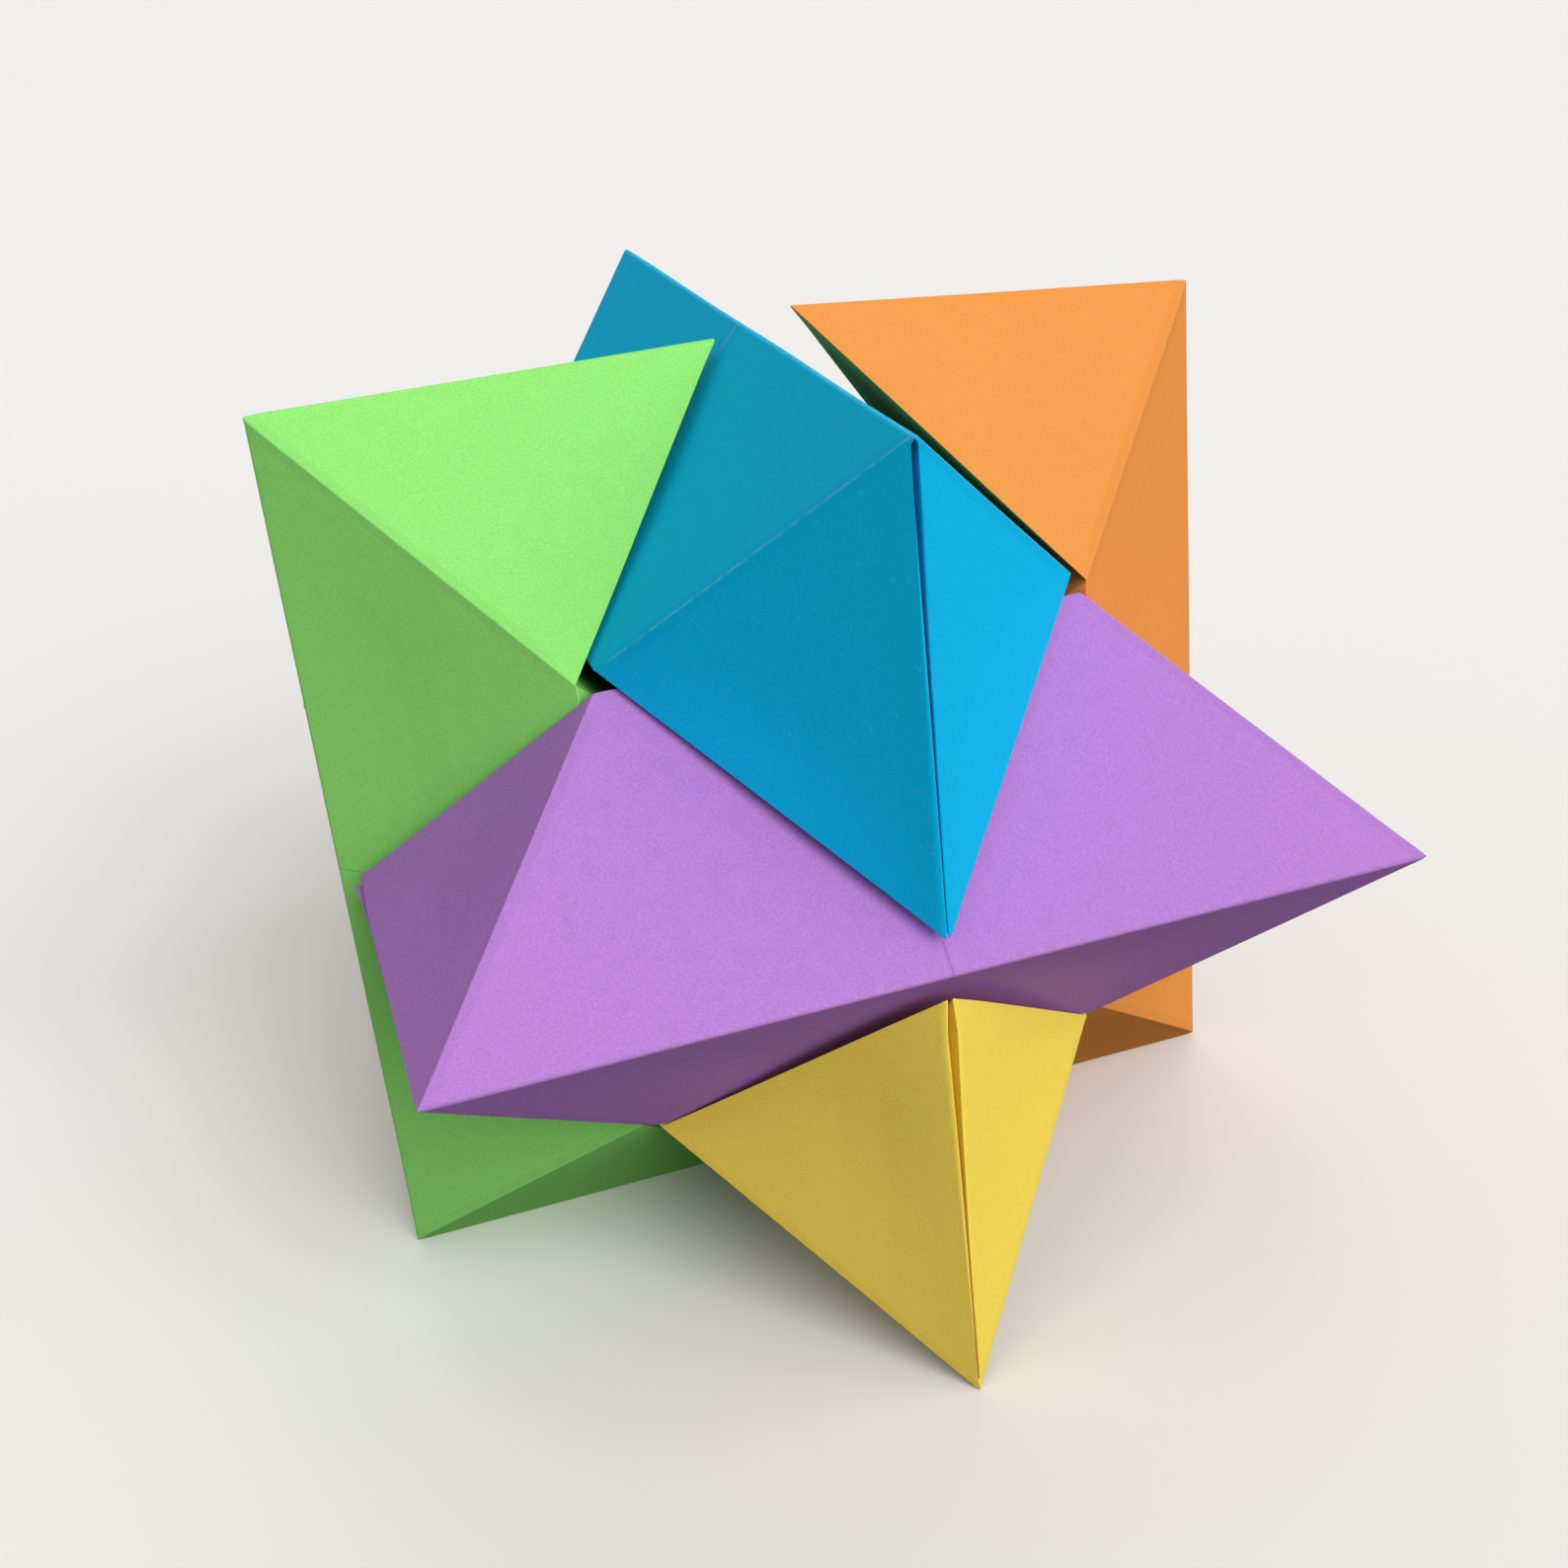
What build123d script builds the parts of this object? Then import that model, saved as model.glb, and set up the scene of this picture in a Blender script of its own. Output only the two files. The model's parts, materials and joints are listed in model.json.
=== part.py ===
from build123d import *
from math import cos, radians, sin, sqrt
import os

# Six-unit burr star. Each unit is one A-size sheet of paper folded into a hollow square bar that lies
# on its edge, with pointed ends and two V notches. Three pairs of bars cross at right angles, and each
# bar lies in the notches of its neighbours.

# The sheet
sheet_length = 297.0  # long side of the sheet that one unit is folded from
paper_thickness = 0.15

# The fit of one unit in its neighbours
fit_gap = 0.8  # how much narrower a folded bar is than the notch it lies in
seat_gap = 0.25  # left under the two spikes of the bottom unit, which carry the rest
rub_gap = 0.3  # left under the spikes that lie against the two upright units
top_gap = 1.3  # left under the two spikes of the top unit, which the upright units hold up

# The folds
fold_radius = 1.0  # outside of the fold along the ridge
seam_width = 0.4  # between the two folded edges that meet along the back of a unit
slit_width = 1.0  # between the two lips at the end of a unit
lip_depth = 8.0  # how far a lip is turned in
tip_bridge = 2.5  # unbroken paper round the tip, past the end of the slit
corner_setback = 1.5  # how far the inner corner of a spike falls short of a true point
open_lean = 5.5  # degrees by which a loose end leans open about its two side corners
overrun = 5.0  # how far a cut runs past what it cuts

# The ridge is the middle half of the sheet's long centre line. The sheet has twice the area of the
# folded surface, so the wall is two layers thick.
half_ridge = sheet_length / 4
middle = half_ridge / 2
bar_side = half_ridge / sqrt(2)
end_side = half_ridge * sqrt(2)
wall = 2 * paper_thickness
shrink = fit_gap / 2

# Each row is one unit: its turn from the first one, its shares of the corner setback and of the lean at
# its first and second end, and its shares of the slit width, at the tip and at the mouth, for each end.
turn_axis = Axis((0, 0, 0), (1, 1, 1))
first_ends = {"purple_unit": 0, "orange_unit": 1, "blue_unit": 2}
opposite = {
    "purple_unit": ("red_unit", Axis.Y),
    "orange_unit": ("green_unit", Axis.Z),
    "blue_unit": ("yellow_unit", Axis.X),
}
setback_shares = {
    "purple_unit": (1.0, 2.4),
    "orange_unit": (0.7, 1.0),
    "blue_unit": (1.0, 1.0),
    "red_unit": (1.0, 1.0),
    "green_unit": (0.5, 1.0),
    "yellow_unit": (1.4, 1.0),
}
lean_shares = {
    "purple_unit": (0, 0),
    "orange_unit": (1, 0),
    "blue_unit": (0, 0),
    "red_unit": (0, 0),
    "green_unit": (0, 0),
    "yellow_unit": (0, 0),
}
slit_shares = {
    "purple_unit": ((0.4, 0.7), (0.4, 1.2)),
    "orange_unit": ((0.6, 0.8), (0.6, 0.8)),
    "blue_unit": ((1.3, 0.4), (0.6, 0.6)),
    "red_unit": ((0.6, 0.8), (0.6, 0.8)),
    "green_unit": ((0.7, 0.9), (0.6, 0.6)),
    "yellow_unit": ((0.4, 2.0), (0.5, 0.8)),
}


def leaning(x, y, lean):
    # Where a point of the first end lies once the end leans open.
    swung = Vector(x - middle, y - middle).rotate(Axis.Z, -lean)
    return swung.X + middle, swung.Y + middle


def tip_reach(lean):
    # How far along its own edge an end meets the ridge.
    return middle + middle * (1 - sin(radians(lean))) / cos(radians(lean))


def at_end(side, shape, lean):
    # A shape made at the first end, leaned with that end, or mirrored for the second one.
    leaned = shape.rotate(Axis((middle, middle, 0), (0, 0, 1)), -lean)
    return leaned if side > 0 else mirror(leaned, about=Plane.XZ)


def bar_section(inset, radius):
    side = bar_side - 2 * inset
    square = Pos(middle, 0) * Rectangle(side, side, rotation=45)
    return Plane.XZ * fillet(square.vertices().sort_by(Axis.X)[-1], radius)


def end_section(inset):
    # The two faces of a pointed end, which meet along its edge, run far past the bar.
    apex = half_ridge - inset * sqrt(2)
    drop = 3 * half_ridge
    return Plane.YZ * Polygon((apex, 0), (apex - drop, drop), (apex - drop, -drop), align=None)


def plan_section(inset, setbacks, leans):
    # Outline seen along the fold of the two seams: the ends, the V notches and the inner point.
    reach = half_ridge + lip_depth + overrun
    first, second = [
        [leaning(x, half_ridge, lean) for x in (reach, setback)] for setback, lean in zip(setbacks, leans)
    ]
    outline = Polygon(
        *first,
        (middle, middle),
        (0, 0),
        (middle, -middle),
        *[(x, -y) for x, y in reversed(second)],
        align=None,
    )
    return offset(outline, amount=-inset, kind=Kind.INTERSECTION)


def notched_bar(inset, radius, setbacks, leans):
    # A square bar on its edge, cut to a point at both ends and notched for its four neighbours.
    run = half_ridge + overrun
    bar = extrude(bar_section(inset, radius), amount=run, both=True)
    end = extrude(end_section(inset), amount=2 * run, both=True)
    plan = extrude(plan_section(inset, setbacks, leans), amount=run, both=True)
    return bar & at_end(1, end, leans[0]) & at_end(-1, end, leans[1]) & plan


def end_slot(side, widths, lean, layer):
    # A tapered slot along the edge at one end of the bar, as deep as the lips and a layer of paper.
    tip, mouth = [width / 2 + layer for width in widths]
    depth = lip_depth + layer
    stop = tip_reach(lean) - tip_bridge + layer
    floor = Plane((0, half_ridge - depth, 0), x_dir=(1, 0, 0), z_dir=(0, 1, 0))
    outline = Polygon((0, -mouth), (stop, -tip), (stop, tip), (0, mouth), align=None)
    return at_end(side, extrude(floor * outline, amount=depth + overrun), lean)


def seam_slot(setbacks, leans, layer):
    # A narrow slot along the back of the unit, where its two folded edges meet and turn in.
    inner = shrink + lip_depth + layer
    band = plan_section(shrink, setbacks, leans) - plan_section(inner, setbacks, leans)
    stop = tip_reach(max(leans)) - tip_bridge + layer
    past_slit = Pos(stop, 0) * Rectangle(end_side, 2 * end_side, align=(Align.MIN, Align.CENTER))
    return extrude(band - past_slit, amount=seam_width / 2 + layer, both=True)


def folded_unit(name):
    # A skin round a hollow, with the lips of the slits and of the seam turned into the hollow.
    setbacks = [corner_setback * share for share in setback_shares[name]]
    leans = [open_lean * share for share in lean_shares[name]]
    slits = [[slit_width * share for share in shares] for shares in slit_shares[name]]
    skin = notched_bar(shrink, fold_radius, setbacks, leans)
    hollow = notched_bar(shrink + wall, fold_radius - wall, setbacks, leans)
    hollow -= seam_slot(setbacks, leans, paper_thickness)
    for side, widths, lean in zip((1, -1), slits, leans):
        hollow -= end_slot(side, widths, lean, paper_thickness)
    unit = skin - hollow - seam_slot(setbacks, leans, 0)
    for side, widths, lean in zip((1, -1), slits, leans):
        unit -= end_slot(side, widths, lean, 0)
    return unit


# How far each unit stands out from the middle of the star. The bottom unit's ridge is level with the
# lower ends of the two upright units, and the others follow from the gaps under their spikes.
ridge_loss = fold_radius * (sqrt(2) - 1)
bottom_out = ridge_loss
side_out = bottom_out + (fit_gap - seat_gap) * sqrt(2)
upright_out = side_out + (fit_gap - rub_gap) * sqrt(2)
top_out = side_out + (top_gap - fit_gap) * sqrt(2)
out = {
    "purple_unit": side_out,
    "red_unit": side_out,
    "orange_unit": upright_out,
    "green_unit": upright_out,
    "blue_unit": top_out,
    "yellow_unit": bottom_out,
}

# The star stands on the bottom unit's ridge, with the table at zero height.
height = half_ridge - shrink * sqrt(2)


def placed(name, turns, half_turn=None):
    unit = Pos(out[name], 0, 0) * folded_unit(name)
    unit = unit.rotate(turn_axis, 120 * turns)
    if half_turn:
        unit = unit.rotate(half_turn, 180)
    return Pos(0, 0, height) * unit


os.makedirs("parts", exist_ok=True)
for name, turns in first_ends.items():
    facing, half_turn = opposite[name]
    export_step(placed(name, turns), f"parts/{name}.step")
    export_step(placed(facing, turns, half_turn), f"parts/{facing}.step")
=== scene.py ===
import json
import math

import bmesh
import bpy
from mathutils import Matrix, Vector, noise


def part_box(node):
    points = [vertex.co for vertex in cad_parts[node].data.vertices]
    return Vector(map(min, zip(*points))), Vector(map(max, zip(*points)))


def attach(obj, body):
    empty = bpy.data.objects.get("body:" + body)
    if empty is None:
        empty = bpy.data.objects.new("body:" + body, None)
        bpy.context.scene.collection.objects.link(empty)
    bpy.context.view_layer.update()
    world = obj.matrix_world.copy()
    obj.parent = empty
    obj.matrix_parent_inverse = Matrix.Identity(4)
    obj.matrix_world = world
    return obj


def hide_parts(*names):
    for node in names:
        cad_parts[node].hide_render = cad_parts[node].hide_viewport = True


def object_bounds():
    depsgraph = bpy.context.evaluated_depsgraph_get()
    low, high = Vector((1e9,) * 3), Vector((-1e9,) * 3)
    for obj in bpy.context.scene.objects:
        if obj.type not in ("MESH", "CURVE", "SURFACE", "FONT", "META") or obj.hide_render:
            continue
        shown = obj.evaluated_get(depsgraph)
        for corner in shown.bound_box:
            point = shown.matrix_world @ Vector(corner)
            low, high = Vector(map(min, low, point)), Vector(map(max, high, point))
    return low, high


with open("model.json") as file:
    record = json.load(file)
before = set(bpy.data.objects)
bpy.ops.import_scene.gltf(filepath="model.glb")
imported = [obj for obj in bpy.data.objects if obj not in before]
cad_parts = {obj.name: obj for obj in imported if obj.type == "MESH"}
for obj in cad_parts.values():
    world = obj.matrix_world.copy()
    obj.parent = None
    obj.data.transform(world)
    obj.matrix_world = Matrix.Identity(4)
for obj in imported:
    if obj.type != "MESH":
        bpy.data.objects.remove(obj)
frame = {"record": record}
cadLow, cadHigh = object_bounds()
print("frame loaded")


# Folded paper

foldedSheet = {
    "ridgeFold": 0.0010,  # round of the fold along the ridge
    "tipFold": 0.00025,  # folds from a tip to the side corners
    "sideFold": 0.0003,  # folds beside the notches
    "lipFold": 0.0002,  # folded edges that meet along the seam
    "foldSteps": 4,
    "seamGap": 0.0003,
    "mouthReach": 0.006,  # how far behind a slit's mouth the seam is closed
    "mergeDistance": 1e-6,
    "gridStep": 0.005,  # spacing of the cuts that let a panel bend
    "panelDepth": 0.0008,  # how far off a panel's plane its points may lie
    "bow": 0.0004,  # how far a panel sinks in the middle
    "dentSize": 0.022,
    "ridgeFade": 0.04,  # how far from a tip fold a panel beside the ridge sinks fully
    "endFade": 0.03,  # the same for a panel of an end
    "backFade": 0.02,  # how far from its back edge a panel of an end sinks fully
    "unevenness": 0.00012,  # how far the paper wavers
    "unevenSize": 0.035,
    "seedStep": 7,  # sets the unevenness of the units apart
    "lipCalm": 0.004,  # how far from a lip the paper starts to waver
    "flareReach": 0.006,  # how far from a slit its lip bends
    "mouthEnd": 1.001,  # share of a slit, just past its mouth, where the lips stop bending
    "loopReach": 0.12,  # share of a slit by its mouth where the lips bend together again
    "skewReach": 0.25,  # share of a slit by its mouth where the lips slide sideways
    "shutLimit": 0.9,  # share of its way to the middle that a lip bends at most
    "boxMargin": 0.00003,  # kept inside the box of its solid
}
plainEnd = {
    "closed": 0.0025,  # stretch by the tip that has no slit
    "tipSlit": 0.0006,  # width of the slit by the tip
    "mouth": 0.0008,  # its width where it opens into the seam
    "bulge": 0,  # its extra width halfway
    "loop": 0,  # share of the mouth by which each lip bends back to the middle
    "skew": 0,  # how far both lips slide sideways at the mouth
    "setback": 0.0015,  # how far the inner corner falls short of a true point
    "lean": 0,  # how far the end leans open, in degrees
}


def paperEnd(**changes):
    return {**plainEnd, **changes}


paperUnits = {
    "purple_unit": {
        "slot": "purple_paper",
        "colour": (181, 127, 208),
        "out": (1, 0, 0),  # from the heart of the star to the middle of the ridge
        "ridge": (0, 1, 0),  # along the ridge, to the first end
        "grain": 1.8,  # strength of the paper's pattern
        "wearAndPaintedLight": 0.6,  # of the painted highlight and wear along the folds, and of the pinch mark
        "lipHighlight": 0.2,  # of the painted highlight on the lips of the slits
        "palePinch": False,  # the pinch mark on the ridge is pale, or else painted shade in its crease
        "dent": 0.0003,  # how far the panels sink further in places
        "lipDepth": 0.008,  # how far a lip is turned in
        "slitFold": 0.0008,  # round of the lips
        "ends": (
            paperEnd(tipSlit=0.0004, mouth=0.0007),
            paperEnd(tipSlit=0.0001, mouth=0.0013, bulge=-0.0005, skew=0.0006, setback=0.0036),
        ),
    },
    "orange_unit": {
        "slot": "orange_paper",
        "colour": (234, 150, 72),
        "out": (0, 1, 0),
        "ridge": (0, 0, 1),
        "grain": 0.6,
        "wearAndPaintedLight": 0.1,
        "lipHighlight": 0,
        "palePinch": False,
        "dent": 0.0002,
        "lipDepth": 0.008,
        "slitFold": 0.0003,
        "ends": (
            paperEnd(tipSlit=0.0003, mouth=0.0005, setback=0.00105, lean=5.5),
            paperEnd(tipSlit=0.0002, mouth=0.0002),
        ),
    },
    "blue_unit": {
        "slot": "blue_paper",
        "colour": (1, 183, 232),
        "out": (0, 0, 1),
        "ridge": (1, 0, 0),
        "grain": 1,
        "wearAndPaintedLight": 0.9,
        "lipHighlight": 1,
        "palePinch": True,
        "dent": 0.0002,
        "lipDepth": 0.012,
        "slitFold": 0.0018,
        "ends": (
            paperEnd(closed=0.0008, tipSlit=0.0009, mouth=0.0001, bulge=-0.0001),
            paperEnd(mouth=0.0006),
        ),
    },
    "red_unit": {
        "slot": "red_paper",
        "colour": (222, 60, 62),
        "out": (-1, 0, 0),
        "ridge": (0, 1, 0),
        "grain": 1,
        "wearAndPaintedLight": 0.5,
        "lipHighlight": 0.2,
        "palePinch": False,
        "dent": 0.0003,
        "lipDepth": 0.008,
        "slitFold": 0.0008,
        "ends": (paperEnd(), paperEnd()),
    },
    "green_unit": {
        "slot": "green_paper",
        "colour": (146, 230, 116),
        "out": (0, -1, 0),
        "ridge": (0, 0, 1),
        "grain": 1.2,
        "wearAndPaintedLight": 0.5,
        "lipHighlight": 0.3,
        "palePinch": False,
        "dent": 0.0003,
        "lipDepth": 0.008,
        "slitFold": 0.0003,
        "ends": (
            paperEnd(tipSlit=0.0002, mouth=0.0003, setback=0.00075),
            paperEnd(tipSlit=0.0002, mouth=0.0002),
        ),
    },
    "yellow_unit": {
        "slot": "yellow_paper",
        "colour": (255, 220, 89),
        "out": (0, 0, -1),
        "ridge": (1, 0, 0),
        "grain": 1,
        "wearAndPaintedLight": 0.4,
        "lipHighlight": 0.8,
        "palePinch": False,
        "dent": 0.0006,
        "lipDepth": 0.005,
        "slitFold": 0.0016,
        "ends": (
            paperEnd(tipSlit=0.0002, mouth=0.0019, bulge=-0.0005, loop=0.4, setback=0.0021),
            paperEnd(tipSlit=0.0005, loop=0.4),
        ),
    },
}
roundest = max([foldedSheet["ridgeFold"]] + [unit["slitFold"] for unit in paperUnits.values()])

blueLow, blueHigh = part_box("blue_unit")
length = (blueHigh.x - blueLow.x) / 2  # half of a ridge, and the height of the star's heart
starHeart = Vector((0, 0, length))


def smooth(low, high, value):
    share = min(max((value - low) / (high - low), 0), 1)
    return share * share * (3 - 2 * share)


def unitPlace(node, unit):
    # a unit's half width and its place, read from its solid's box
    low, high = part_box(node)
    out, ridge = Vector(unit["out"]), Vector(unit["ridge"])
    cross = out.cross(ridge)
    side = abs((high - low).dot(cross)) / 2
    front = max(low.dot(out), high.dot(out)) + foldedSheet["ridgeFold"] * (math.sqrt(2) - 1)
    origin = starHeart + out * (front - length - starHeart.dot(out))
    return side, Matrix.Translation(origin) @ Matrix((out, ridge, cross)).transposed().to_4x4()


def tipOf(side, lean):
    # where the edge of an end meets the ridge, measured along that edge
    return length - side + side * (1 - math.sin(math.radians(lean))) / math.cos(math.radians(lean))


def edgePoint(side, lean, along, depth=0):
    # a point on or inside the edge of an end, which leans open about its two side corners
    pivot = Vector((length - side, length - side, 0))
    swing = Matrix.Rotation(-math.radians(lean), 3, "Z")
    return pivot + swing @ (Vector((along, length - depth, 0)) - pivot)


def quarterSheet(bm, weights, side, unit, ending):
    # a quarter of the folded sheet, from the middle of the ridge to one tip
    closed, tipSlit, lean = ending["closed"], ending["tipSlit"], ending["lean"]
    depth = unit["lipDepth"]
    slack = length - 2 * side
    middle = length - side
    spikeAngle = 45  # degrees, at the inner corner of an end
    inset = depth * math.tan(math.radians(90 - spikeAngle / 2))
    tipAlong = tipOf(side, lean)
    slitAlong = tipAlong - closed - tipSlit / 2
    endAlong = 2 * slack + ending["setback"]
    corner = Vector((middle, middle, side))
    notch = Vector((middle + slack, middle, 0))
    heart = Vector((slack, 0, 0))
    seam = foldedSheet["seamGap"] / 2 / side
    end = edgePoint(side, lean, endAlong)
    shut = end + (notch - end).normalized() * foldedSheet["mouthReach"]
    places = {
        "ridge": (length, 0, 0),
        "tip": edgePoint(side, lean, tipAlong),
        "close": edgePoint(side, lean, tipAlong - closed),
        "slit": edgePoint(side, lean, slitAlong).lerp(corner, tipSlit / 2 / side),
        "end": end.lerp(corner, ending["mouth"] / 2 / side),
        "shut": shut.lerp(corner, seam),
        "corner": corner,
        "notch": notch.lerp(corner, seam),
        "heart": heart.lerp(Vector((middle, 0, side)), seam),
        "flank": (middle, 0, side),
        "slitIn": edgePoint(side, lean, slitAlong, depth),
        "endIn": edgePoint(side, lean, endAlong + inset, depth),
        "notchIn": notch + Vector((depth, 0, 0)),
        "heartIn": heart + Vector((depth * math.sqrt(2), 0, 0)),
    }
    spots = {name: bm.verts.new(place) for name, place in places.items()}
    for panel in (
        ("ridge", "tip", "corner", "flank"),
        ("tip", "close", "slit", "end", "corner"),
        ("end", "shut", "notch", "corner"),
        ("notch", "heart", "corner"),
        ("heart", "flank", "corner"),
        ("close", "slitIn", "slit"),
        ("slit", "slitIn", "endIn", "end"),
        ("end", "endIn", "shut"),
        ("shut", "endIn", "notchIn", "notch"),
        ("notch", "notchIn", "heartIn", "heart"),
    ):
        bm.faces.new([spots[name] for name in panel])
    for fold, size in (
        (("ridge", "tip"), foldedSheet["ridgeFold"]),
        (("tip", "corner"), foldedSheet["tipFold"]),
        (("tip", "close"), foldedSheet["lipFold"]),
        (("slit", "end"), unit["slitFold"]),
        (("corner", "flank"), foldedSheet["sideFold"]),
        (("end", "corner"), foldedSheet["sideFold"]),
        (("notch", "corner"), foldedSheet["lipFold"]),
        (("heart", "corner"), foldedSheet["lipFold"]),
        (("end", "shut"), foldedSheet["lipFold"]),
        (("shut", "notch"), foldedSheet["lipFold"]),
        (("notch", "heart"), foldedSheet["lipFold"]),
    ):
        edge = bm.edges.get([spots[name] for name in fold])
        edge[weights] = size / roundest


def sharpUnit(side, unit):
    # the whole unit with sharp folds: a quarter for each end, then their mirror image
    bm = bmesh.new()
    weights = bm.edges.layers.float.new("bevel_weight_edge")
    first, second = unit["ends"]
    merge = foldedSheet["mergeDistance"]
    quarterSheet(bm, weights, side, unit, second)
    bmesh.ops.scale(bm, vec=(1, -1, 1), verts=bm.verts)
    quarterSheet(bm, weights, side, unit, first)
    bmesh.ops.remove_doubles(bm, verts=bm.verts, dist=merge)
    geom = bm.verts[:] + bm.edges[:] + bm.faces[:]
    bmesh.ops.mirror(bm, geom=geom, matrix=Matrix(), merge_dist=merge, axis="Z")
    bmesh.ops.recalc_face_normals(bm, faces=bm.faces)
    if bm.calc_volume(signed=True) < 0:
        bmesh.ops.reverse_faces(bm, faces=bm.faces)
    return bm


def roundedFolds(bm):
    mesh = bpy.data.meshes.new("sharp")
    bm.to_mesh(mesh)
    bm.free()
    rough = bpy.data.objects.new("sharp", mesh)
    bpy.context.scene.collection.objects.link(rough)
    rounding = rough.modifiers.new("folds", "BEVEL")
    rounding.width = roundest
    rounding.segments = foldedSheet["foldSteps"]
    rounding.limit_method = "WEIGHT"
    rounding.profile = 0.5
    rounding.material = 1  # the paler paper of the folds: painted highlight and wear
    rounding.use_clamp_overlap = False
    finished = bmesh.new()
    finished.from_object(rough, bpy.context.evaluated_depsgraph_get())
    bpy.data.objects.remove(rough)
    bpy.data.meshes.remove(mesh)
    return finished


def cutGrid(bm, side):
    step, merge = foldedSheet["gridStep"], foldedSheet["mergeDistance"]
    rows = [step * n for n in range(1, int(length / step) + 1)]
    cuts = [((1, 0, 0), at) for at in rows] + [((0, 1, 0), 0)]
    for sign in (1, -1):
        cuts += [((0, 1, 0), sign * at) for at in rows]
        cuts += [((0, 0, 1), sign * at) for at in rows if at < side]
    for normal, at in cuts:
        geom = bm.verts[:] + bm.edges[:] + bm.faces[:]
        bmesh.ops.bisect_plane(bm, geom=geom, plane_co=Vector(normal) * at, plane_no=normal, dist=merge)


def panelSink(spot, side):
    # the way in and how far a point of an outer panel sinks, nought along the folds
    across = abs(spot.z) / side
    level = math.copysign(1, spot.z)
    if abs(spot.x + abs(spot.z) - length) < foldedSheet["panelDepth"]:
        fade = smooth(0, foldedSheet["ridgeFade"], max(length - abs(spot.z) - abs(spot.y), 0))
        return Vector((-1, 0, -level)), across * (1 - across) * 4 * fade
    if abs(abs(spot.y) + abs(spot.z) - length) < foldedSheet["panelDepth"]:
        fade = smooth(0, foldedSheet["endFade"], length - abs(spot.z) - spot.x)
        back = smooth(0, foldedSheet["backFade"], spot.x - abs(spot.z))
        return Vector((0, -math.copysign(1, spot.y), -level)), across * 2 * fade * back
    return Vector(), 0


def lipBend(spot, unit):
    # a lip bends open or shut halfway along its slit and back to the middle at its mouth, where both
    # lips also slide the same way along the faces of the end
    ending = unit["ends"][0 if spot.y > 0 else 1]
    start = length - ending["closed"]
    along = (start - spot.x) / (start - ending["setback"])
    if not 0 < along < foldedSheet["mouthEnd"]:
        return Vector()
    level = math.copysign(1, spot.z)
    near = 1 - smooth(0, foldedSheet["flareReach"], abs(spot.z))
    outer = 1 - smooth(0, unit["lipDepth"], length - abs(spot.y) - abs(spot.z))
    loop = smooth(1 - foldedSheet["loopReach"], 1, along) * ending["mouth"] * ending["loop"]
    opening = (ending["bulge"] / 2 * math.sin(math.pi * along) - loop) * near * outer
    opening = max(opening, -foldedSheet["shutLimit"] * abs(spot.z))
    slide = ending["skew"] * smooth(1 - foldedSheet["skewReach"], 1, along) * near * outer
    return Vector((0, -math.copysign(slide, spot.y) * level, opening * level + slide))


def bendPaper(bm, side, unit, seed):
    # panels sink and waver inwards only, so the paper keeps inside its solid
    calm = foldedSheet["lipCalm"]
    bm.normal_update()
    sinks = []
    for vert in bm.verts:
        inwards, share = panelSink(vert.co, side)
        dent = unit["dent"] * (1 + noise.noise(vert.co / foldedSheet["dentSize"] - seed))
        sink = inwards * share * (foldedSheet["bow"] + dent) / math.sqrt(2) + lipBend(vert.co, unit)
        lips = (1 - smooth(0, calm, abs(vert.co.z))) * smooth(0, calm, length - vert.co.x)
        waver = (1 + noise.noise(vert.co / foldedSheet["unevenSize"] + seed)) * (1 - lips)
        sinks.append(sink - vert.normal * waver * foldedSheet["unevenness"])
    for vert, sink in zip(bm.verts, sinks):
        vert.co += sink


def paperUnit(node, unit, seed):
    side, place = unitPlace(node, unit)
    bm = roundedFolds(sharpUnit(side, unit))
    cutGrid(bm, side)
    bendPaper(bm, side, unit, seed)
    bmesh.ops.transform(bm, matrix=place, verts=bm.verts)
    margin = Vector([foldedSheet["boxMargin"]] * 3)
    low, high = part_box(node)
    for vert in bm.verts:
        vert.co = [min(max(at, a), b) for at, a, b in zip(vert.co, low + margin, high - margin)]
    for face in bm.faces:
        face.smooth = True
    mesh = bpy.data.meshes.new(node.replace("_unit", "_sheet"))
    bm.to_mesh(mesh)
    bm.free()
    sheet = bpy.data.objects.new(mesh.name, mesh)
    bpy.context.scene.collection.objects.link(sheet)
    sheet.modifiers.new("normals", "WEIGHTED_NORMAL")
    return sheet


# Paper finish

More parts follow.
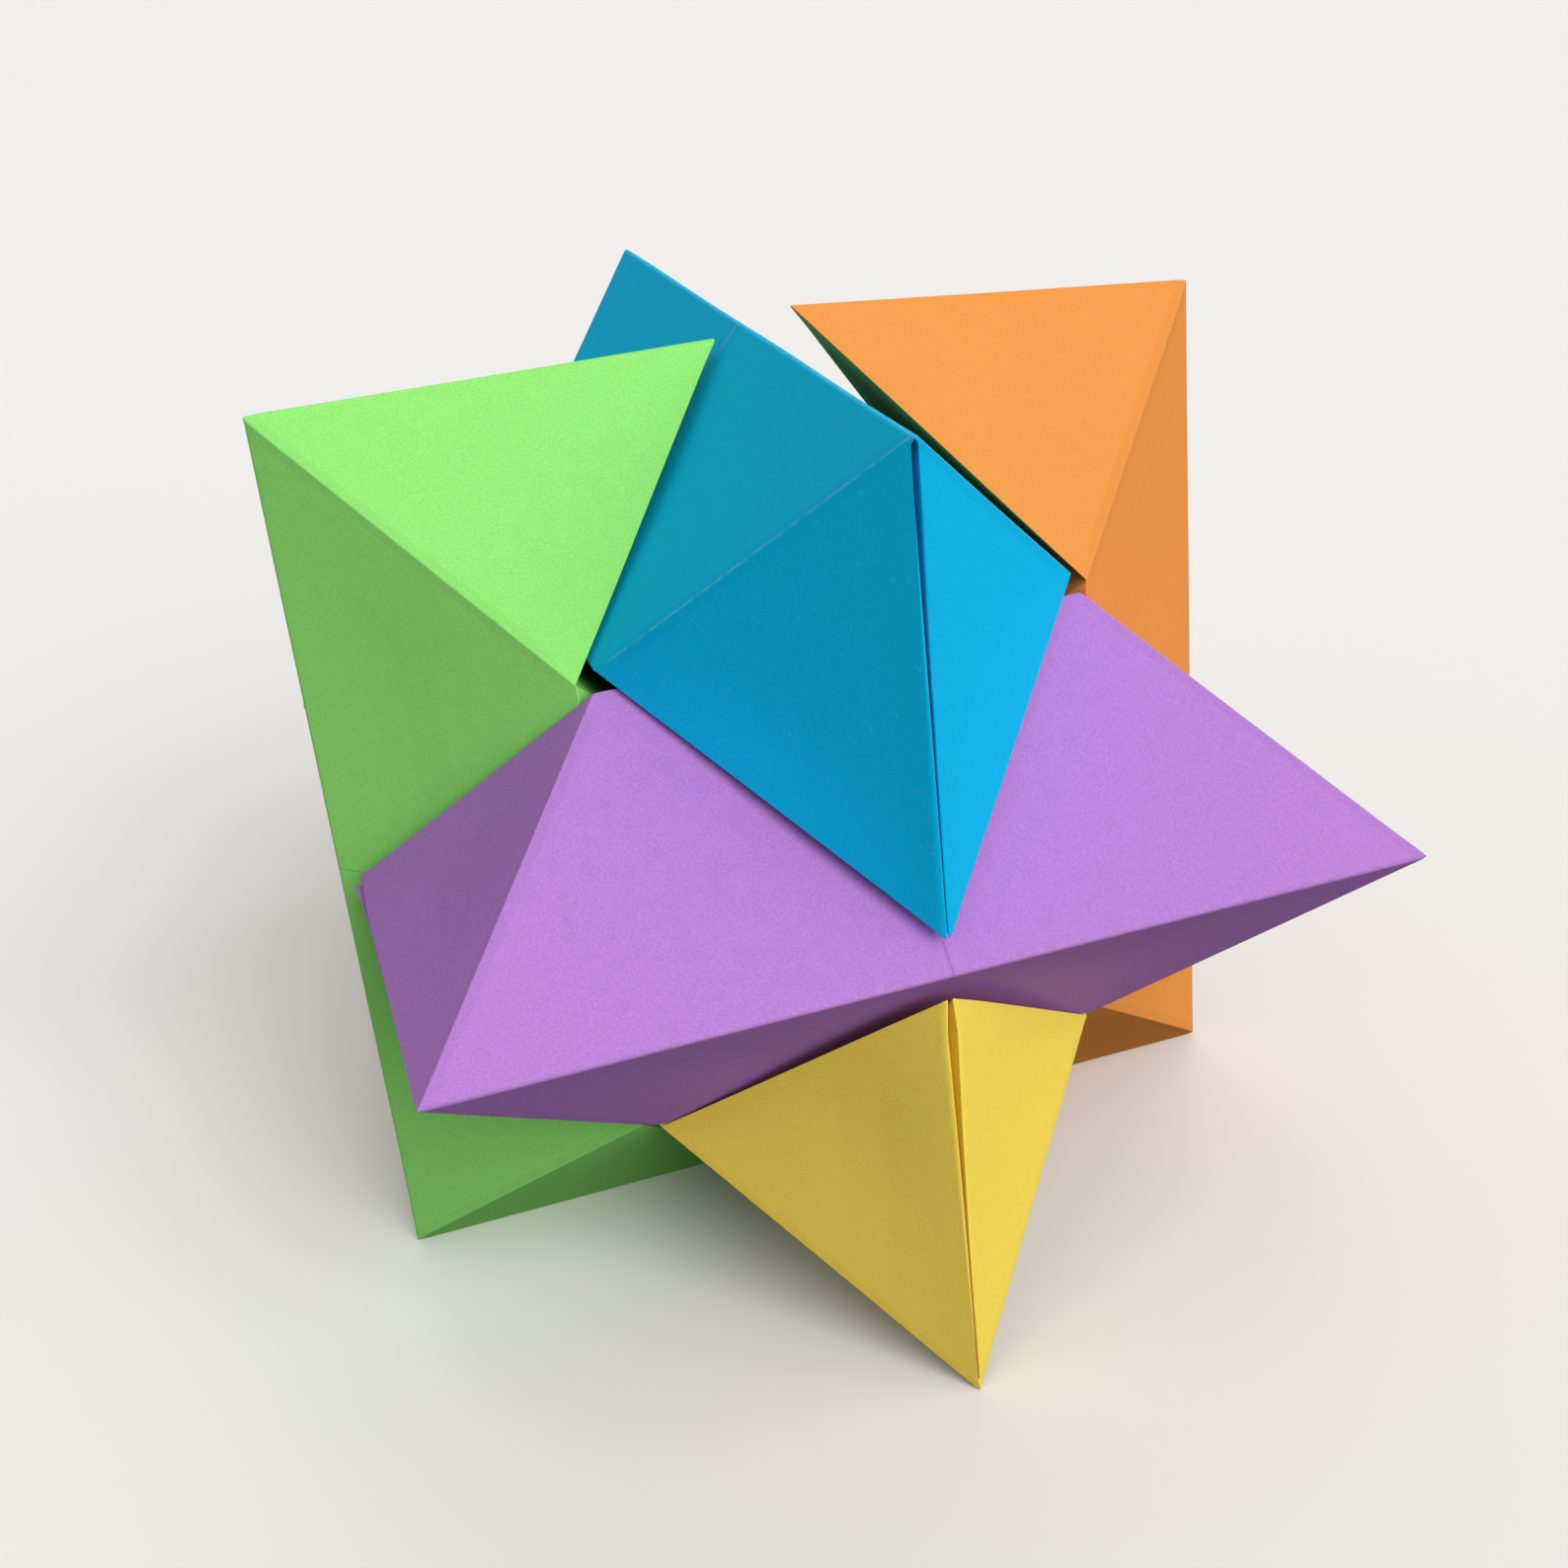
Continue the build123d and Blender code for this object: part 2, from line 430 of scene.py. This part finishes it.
paperFinish = {
    "roughness": 0.86,
    "roughnessRange": 0.12,
    "specular": 0.1,
    "shadeRange": 0.12,  # how far the paper's pattern darkens and lightens it
    "fibreScale": 3200,
    "fibreDetail": 3,
    "fibreShade": 1.0,
    "mottleScale": 420,
    "mottleDetail": 4,
    "mottleShade": 0.22,
    "fleckScale": 1500,
    "fleckDetail": 1,
    "fleckLevels": (0.68, 0.8),  # of its noise, where a fleck comes in
    "fleckShade": 0.1,
    "paleLightening": 0.3,  # of the pale tone of flecks, and of the painted highlight and wear along the folds
    "bumpStrength": 0.35,
    "bumpHeight": 0.00004,
    "foldLightening": 0.08,  # painted highlight and wear on the rounded folds
    "lipBrightening": 0.35,  # painted highlight on the rounded lips of a slit
    "lipReach": (0.00144, 0.0018),  # fades between these, as the other pairs do
    "outerReach": (0.001, 0.003),  # above the side corners, where the marks come in
    "topReach": (0.004, 0.002),  # below the ridge, where its own painted highlight and wear take over from the lips'
    "wornHighlightLightening": 0.3,  # painted highlight and wear along a ridge or tip fold
    "ridgeHighlightWidth": (0.0003, 0.0006),
    "tipHighlightWidth": (0.0001, 0.0003),
    "wornHighlightLevels": (0.3, 0.7),  # of its noise, where the line breaks up
    "wornHighlightWobble": 0.0003,
    "wornHighlightScale": 650,
    "wornHighlightDetail": 3,
    "shoulderShade": 0.02,  # painted shade in a band beside a tip fold
    "shoulderWidth": (0.00126, 0.0018),
    "pinchShade": 0.6,  # of the pinch mark across the middle of a ridge, painted shade in its crease unless the pinch is pale
    "pinchDepth": 0.7,  # of its painted shade
    "pinchWidth": 0.0003,
    "pinchReach": (0.0035, 0.007),
    "pinchWobble": 0.3,  # shares of the wobble of the painted highlight and wear, across the mark and at its ends
    "pinchEndWobble": 4,
    "pinchBump": 2,
}


class Wire:
    # a socket of a material: sums and products of wires add Math nodes
    def __init__(self, tree, socket=None):
        self.tree = tree
        self.socket = socket

    def add(self, kind, settings, inputs, output=0):
        made = self.tree.nodes.new(kind)
        for name, value in settings.items():
            setattr(made, name, value)
        for name, value in inputs.items():
            if isinstance(value, Wire):
                self.tree.links.new(value.socket, made.inputs[name])
            else:
                made.inputs[name].default_value = value
        return Wire(self.tree, made.outputs[output])

    def maths(self, operation, first, second):
        return self.add("ShaderNodeMath", {"operation": operation}, {0: first, 1: second})

    def __add__(self, other):
        return self.maths("ADD", self, other)

    def __radd__(self, other):
        return self.maths("ADD", other, self)

    def __sub__(self, other):
        return self.maths("SUBTRACT", self, other)

    def __rsub__(self, other):
        return self.maths("SUBTRACT", other, self)

    def __mul__(self, other):
        return self.maths("MULTIPLY", self, other)

    def __rmul__(self, other):
        return self.maths("MULTIPLY", other, self)

    def __abs__(self):
        return self.maths("ABSOLUTE", self, 0)

    def ramp(self, low, high):
        settings = {"clamp": True, "interpolation_type": "SMOOTHSTEP"}
        inputs = {"Value": self, "From Min": low, "From Max": high}
        return self.add("ShaderNodeMapRange", settings, inputs)


def linear(colour):
    # linear light of a screen colour
    return [((c / 255 + 0.055) / 1.055) ** 2.4 if c > 10 else c / 255 / 12.92 for c in colour]


def paler(colour, share):
    return [c + (1 - c) * share for c in colour]


def shaded(colour, share):
    return [min(c * share, 1) for c in colour] + [1]


def mixColours(wires, factor, first, second):
    # a Mix node's colour sockets are 6 and 7, and its colour result is 2
    return wires.add("ShaderNodeMix", {"data_type": "RGBA"}, {0: factor, 6: first, 7: second}, 2)


def paperNoise(wires, place, name):
    scale, detail = paperFinish[name + "Scale"], paperFinish[name + "Detail"]
    return wires.add("ShaderNodeTexNoise", {}, {"Vector": place, "Scale": scale, "Detail": detail})


def unitAxes(wires, place, node, unit):
    # outward, ridge and cross distances of a point from its unit's own origin
    side, matrix = unitPlace(node, unit)
    inputs = {0: place, 1: matrix.translation}
    local = wires.add("ShaderNodeVectorMath", {"operation": "SUBTRACT"}, inputs)
    out, ridge = Vector(unit["out"]), Vector(unit["ridge"])
    dots = [
        wires.add("ShaderNodeVectorMath", {"operation": "DOT_PRODUCT"}, {0: local, 1: axis}, "Value")
        for axis in (out, ridge, out.cross(ridge))
    ]
    return side, dots


def foldMarks(wires, place, node, unit):
    # painted highlight and wear along the folds, painted shade beside the tip folds, pinch mark across
    # the ridge, painted highlight on the lips
    side, (x, y, z) = unitAxes(wires, place, node, unit)
    wearAndPaintedLight, lipHighlight = unit["wearAndPaintedLight"], unit["lipHighlight"]
    middle = length - side
    tips = [edgePoint(side, end["lean"], tipOf(side, end["lean"])) for end in unit["ends"]]
    slopes = [(tip.y - middle) / side for tip in tips]
    slope = wires.maths("GREATER_THAN", y, 0) * (slopes[0] - slopes[1]) + slopes[1]
    along, across = abs(y), abs(z)
    outer = x.ramp(*[middle + at for at in paperFinish["outerReach"]])
    tops = x.ramp(*[length - at for at in paperFinish["topReach"]])
    # distances from the folds, measured in the panels
    fromRidge = across * math.sqrt(2)
    fromTipFold = abs((x - middle) * slope - (along - middle)) * (1 / math.sqrt(1.5))
    noisy = paperNoise(wires, place, "wornHighlight")
    wobble = (noisy - 0.5) * paperFinish["wornHighlightWobble"]
    # painted highlight and wear along the ridge and the tip folds, broken up by noise
    ridgeWornHighlight = 1 - (fromRidge + wobble).ramp(*paperFinish["ridgeHighlightWidth"])
    ridgeWornHighlight = ridgeWornHighlight * (tops * (wearAndPaintedLight - lipHighlight) + lipHighlight)
    tipWornHighlight = (1 - (fromTipFold + wobble).ramp(*paperFinish["tipHighlightWidth"])) * wearAndPaintedLight
    wornHighlight = wires.maths("MAXIMUM", ridgeWornHighlight, tipWornHighlight) * outer * noisy.ramp(*paperFinish["wornHighlightLevels"])
    # painted shade in a band beside each tip fold
    shoulderShadeMask = 1 - (fromTipFold + wobble).ramp(*paperFinish["shoulderWidth"])
    shoulderShadeMask = shoulderShadeMask * outer * (1 - tipWornHighlight)
    # pinch mark across the middle of the ridge, painted shade in its crease unless the pinch is pale
    pinch = 1 - (along + wobble * paperFinish["pinchWobble"]).ramp(0, paperFinish["pinchWidth"])
    pinchEnd = (fromRidge + wobble * paperFinish["pinchEndWobble"]).ramp(*paperFinish["pinchReach"])
    pinch = pinch * outer * (1 - pinchEnd)
    # painted highlight on the rounded lips of a slit, below the ridge
    lips = (1 - across.ramp(*paperFinish["lipReach"])) * (1 - tops) * outer * lipHighlight
    return wornHighlight, shoulderShadeMask, pinch, lips


def paperMaterial(name, node, unit, lightening):
    material = bpy.data.materials.new(name)
    material.use_nodes = True
    tree = material.node_tree
    shader = tree.nodes["Principled BSDF"]
    wires = Wire(tree)
    place = wires.add("ShaderNodeTexCoord", {}, {}, "Object")
    fibre, mottle, fleck = [paperNoise(wires, place, kind) for kind in ("fibre", "mottle", "fleck")]
    wornHighlight, shoulderShadeMask, pinch, lips = foldMarks(wires, place, node, unit)

    grain, spread = unit["grain"], paperFinish["shadeRange"]
    # the paper's own grain and mottle, less the painted shade beside the tip folds
    shade = (fibre - 0.5) * (paperFinish["fibreShade"] * grain)
    shade = shade + (mottle - 0.5) * (paperFinish["mottleShade"] * grain)
    shade = shade - shoulderShadeMask * (paperFinish["shoulderShade"] / spread)
    base = paler(linear(unit["colour"]), lightening)
    pale = paler(base, paperFinish["paleLightening"]) + [1]
    tone = mixColours(wires, (shade + 0.5).ramp(0, 1), shaded(base, 1 - spread), shaded(base, 1 + spread))
    # painted highlight on the rounded lips, on the folds' material only
    if lightening:
        tone = mixColours(wires, lips, tone, shaded(base, 1 + paperFinish["lipBrightening"]))
    # the pinch mark takes the pale tone, or else painted shade in its crease
    crease = pale if unit["palePinch"] else shaded(base, 1 - paperFinish["pinchDepth"])
    tone = mixColours(wires, pinch * (paperFinish["pinchShade"] * unit["wearAndPaintedLight"]), tone, crease)
    # pale flecks of the paper, and the painted highlight and wear along the folds
    paling = fleck.ramp(*paperFinish["fleckLevels"]) * paperFinish["fleckShade"]
    tone = mixColours(wires, paling + wornHighlight * paperFinish["wornHighlightLightening"], tone, pale)

    roughness = paperFinish["roughness"] - paperFinish["roughnessRange"] / 2
    roughness = fibre * paperFinish["roughnessRange"] + roughness
    relief = {
        "Strength": paperFinish["bumpStrength"],
        "Distance": paperFinish["bumpHeight"],
        "Height": fibre - pinch * paperFinish["pinchBump"],
    }
    bump = wires.add("ShaderNodeBump", {}, relief)
    tree.links.new(tone.socket, shader.inputs["Base Color"])
    tree.links.new(roughness.socket, shader.inputs["Roughness"])
    tree.links.new(bump.socket, shader.inputs["Normal"])
    shader.inputs["Specular IOR Level"].default_value = paperFinish["specular"]
    return material


bodies = frame["record"]["behaviour"]["bodies"]
bodyOf = {node: body for body, nodes in bodies.items() for node in nodes}
for number, (node, unit) in enumerate(paperUnits.items()):
    sheet = paperUnit(node, unit, Vector((number * foldedSheet["seedStep"], 0, 0)))
    # the folds' own material is paler: painted highlight and wear
    for suffix, lightening in (("", 0), ("_fold", paperFinish["foldLightening"])):
        sheet.data.materials.append(paperMaterial(unit["slot"] + suffix, node, unit, lightening))
    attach(sheet, bodyOf[node])
    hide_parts(node)
    print("folded", node, len(sheet.data.polygons), "faces")


# Stage, light and camera

stage = {
    "floorColour": (250, 249, 247),
    "bounceColour": (80, 80, 80),  # what the paper sees of the floor
    "floorRoughness": 0.9,
    "floorSize": 40.0,
    "backdropColour": (240, 239, 236),
    "worldColour": (255, 252, 248),
    "worldStrength": 0.45,
    "keyAzimuth": 16,  # degrees from the front
    "keyElevation": 32,
    "keyAngle": 40,
    "keyStrength": 2.2,
    "fillAzimuth": 58,
    "fillElevation": 8,
    "fillAngle": 50,
    "fillStrength": 0.6,
    "backAzimuth": 165,
    "backElevation": 35,
    "backAngle": 60,
    "backStrength": 0.4,
}
photoView = {
    "azimuth": -15.24,  # from the front, in degrees
    "elevation": 25.31,
    "roll": -5.97,
    "distance": 0.3392,
    "right": -0.0004,
    "up": -0.0025,
    "focalPixels": 2047.4,
    "framePixels": 1588,
    "sensor": 36.0,
    "clipStart": 0.01,
}


def floorSheet():
    bm = bmesh.new()
    bmesh.ops.create_grid(bm, x_segments=1, y_segments=1, size=stage["floorSize"] / 2)
    bmesh.ops.translate(bm, vec=(0, 0, cadLow.z), verts=bm.verts)
    mesh = bpy.data.meshes.new("floor")
    bm.to_mesh(mesh)
    bm.free()
    floor = bpy.data.objects.new("floor", mesh)
    bpy.context.scene.collection.objects.link(floor)
    material = bpy.data.materials.new("floor")
    material.use_nodes = True
    tree = material.node_tree
    shader = tree.nodes["Principled BSDF"]
    wires = Wire(tree)
    seen = wires.add("ShaderNodeLightPath", {}, {}, "Is Camera Ray")
    bounce, shown = [linear(stage[name]) + [1] for name in ("bounceColour", "floorColour")]
    tree.links.new(mixColours(wires, seen, bounce, shown).socket, shader.inputs["Base Color"])
    shader.inputs["Roughness"].default_value = stage["floorRoughness"]
    mesh.materials.append(material)


def softLight(name):
    data = bpy.data.lights.new(name, "SUN")
    data.angle = math.radians(stage[name + "Angle"])
    data.energy = stage[name + "Strength"]
    lamp = bpy.data.objects.new(name, data)
    bpy.context.scene.collection.objects.link(lamp)
    turn, rise = math.radians(stage[name + "Azimuth"]), math.radians(stage[name + "Elevation"])
    lamp.location = (math.cos(rise) * math.cos(turn), math.cos(rise) * math.sin(turn), math.sin(rise))
    lamp.rotation_euler = lamp.location.to_track_quat("Z", "Y").to_euler()


def skyLight():
    world = bpy.data.worlds.new("studio")
    bpy.context.scene.world = world
    world.use_nodes = True
    tree = world.node_tree
    wires = Wire(tree)
    seen = wires.add("ShaderNodeLightPath", {}, {}, "Is Camera Ray")
    sky = [c * stage["worldStrength"] for c in linear(stage["worldColour"])] + [1]
    colour = mixColours(wires, seen, sky, linear(stage["backdropColour"]) + [1])
    tree.links.new(colour.socket, tree.nodes["Background"].inputs["Color"])


def photoCamera():
    turn, rise, roll = [math.radians(photoView[name]) for name in ("azimuth", "elevation", "roll")]
    back = Vector((math.cos(rise) * math.cos(turn), math.cos(rise) * math.sin(turn), math.sin(rise)))
    level = Vector((-math.sin(turn), math.cos(turn), 0))
    upright = back.cross(level)
    right = level * math.cos(roll) + upright * math.sin(roll)
    up = upright * math.cos(roll) - level * math.sin(roll)
    data = bpy.data.cameras.new("photo")
    data.sensor_width = photoView["sensor"]
    data.lens = photoView["focalPixels"] / photoView["framePixels"] * photoView["sensor"]
    data.clip_start = photoView["clipStart"]
    camera = bpy.data.objects.new("photo", data)
    bpy.context.scene.collection.objects.link(camera)
    eye = starHeart + back * photoView["distance"] + right * photoView["right"] + up * photoView["up"]
    camera.matrix_world = Matrix.Translation(eye) @ Matrix((right, up, back)).transposed().to_4x4()
    bpy.context.scene.camera = camera


floorSheet()
softLight("key")
softLight("fill")
softLight("back")
skyLight()
photoCamera()
bpy.context.scene.view_settings.view_transform = "Standard"
print("stage set")
